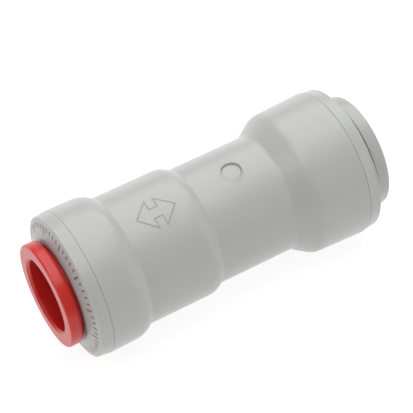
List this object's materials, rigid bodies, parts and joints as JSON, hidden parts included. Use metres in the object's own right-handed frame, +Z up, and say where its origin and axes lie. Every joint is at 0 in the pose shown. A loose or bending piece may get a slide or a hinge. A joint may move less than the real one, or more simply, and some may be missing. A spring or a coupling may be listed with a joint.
{
  "type": "push fit coupling",
  "caption": "Straight push-fit pipe coupling: a stepped round plastic body with an end cap, a sliding release collet, steel grip teeth and O-ring seals at each end.",
  "frame": {"origin": "on the pipe axis, halfway between the two collet faces", "axes": "+X along the pipe axis from the left (red collet) end to the right end, +Z up"},
  "size_m": [0.0724, 0.0312, 0.0312],
  "materials": {
    "body_grey": "satin",
    "cap_grey": "satin",
    "collet_red": "satin",
    "collet_grey": "satin",
    "ring_white": "matte",
    "seal_black": "satin",
    "tooth_steel": "brushed"
  },
  "bodies": {
    "housing": {"body": "body_grey", "left_cap": "cap_grey", "right_cap": "cap_grey", "left_outer_o_ring": "seal_black", "left_seal_divider": "ring_white", "left_inner_o_ring": "seal_black", "right_o_ring": "seal_black"},
    "left_ring": {"left_backup_ring": "ring_white"},
    "left_release": {"left_collet": "collet_red", "left_tooth_1": "tooth_steel", "left_tooth_2": "tooth_steel", "left_tooth_3": "tooth_steel", "left_tooth_4": "tooth_steel", "left_tooth_5": "tooth_steel", "left_tooth_6": "tooth_steel", "left_tooth_7": "tooth_steel", "left_tooth_8": "tooth_steel"},
    "right_ring": {"right_backup_ring": "ring_white"},
    "right_release": {"right_collet": "collet_grey", "right_tooth_1": "tooth_steel", "right_tooth_2": "tooth_steel", "right_tooth_3": "tooth_steel", "right_tooth_4": "tooth_steel", "right_tooth_5": "tooth_steel", "right_tooth_6": "tooth_steel", "right_tooth_7": "tooth_steel", "right_tooth_8": "tooth_steel"}
  },
  "joints": [
    {"name": "left_collet_turn", "type": "hinge", "parent": "housing", "child": "left_ring", "pos_m": [-0.02265, 0, 0], "axis": [1, 0, 0], "continuous": true},
    {"name": "left_collet_press", "type": "slide", "parent": "left_ring", "child": "left_release", "axis": [1, 0, 0], "range_m": [-0.00075, 0.00055]},
    {"name": "right_collet_turn", "type": "hinge", "parent": "housing", "child": "right_ring", "pos_m": [0.02265, 0, 0], "axis": [1, 0, 0], "continuous": true},
    {"name": "right_collet_press", "type": "slide", "parent": "right_ring", "child": "right_release", "axis": [-1, 0, 0], "range_m": [-0.00075, 0.00055]}
  ]
}
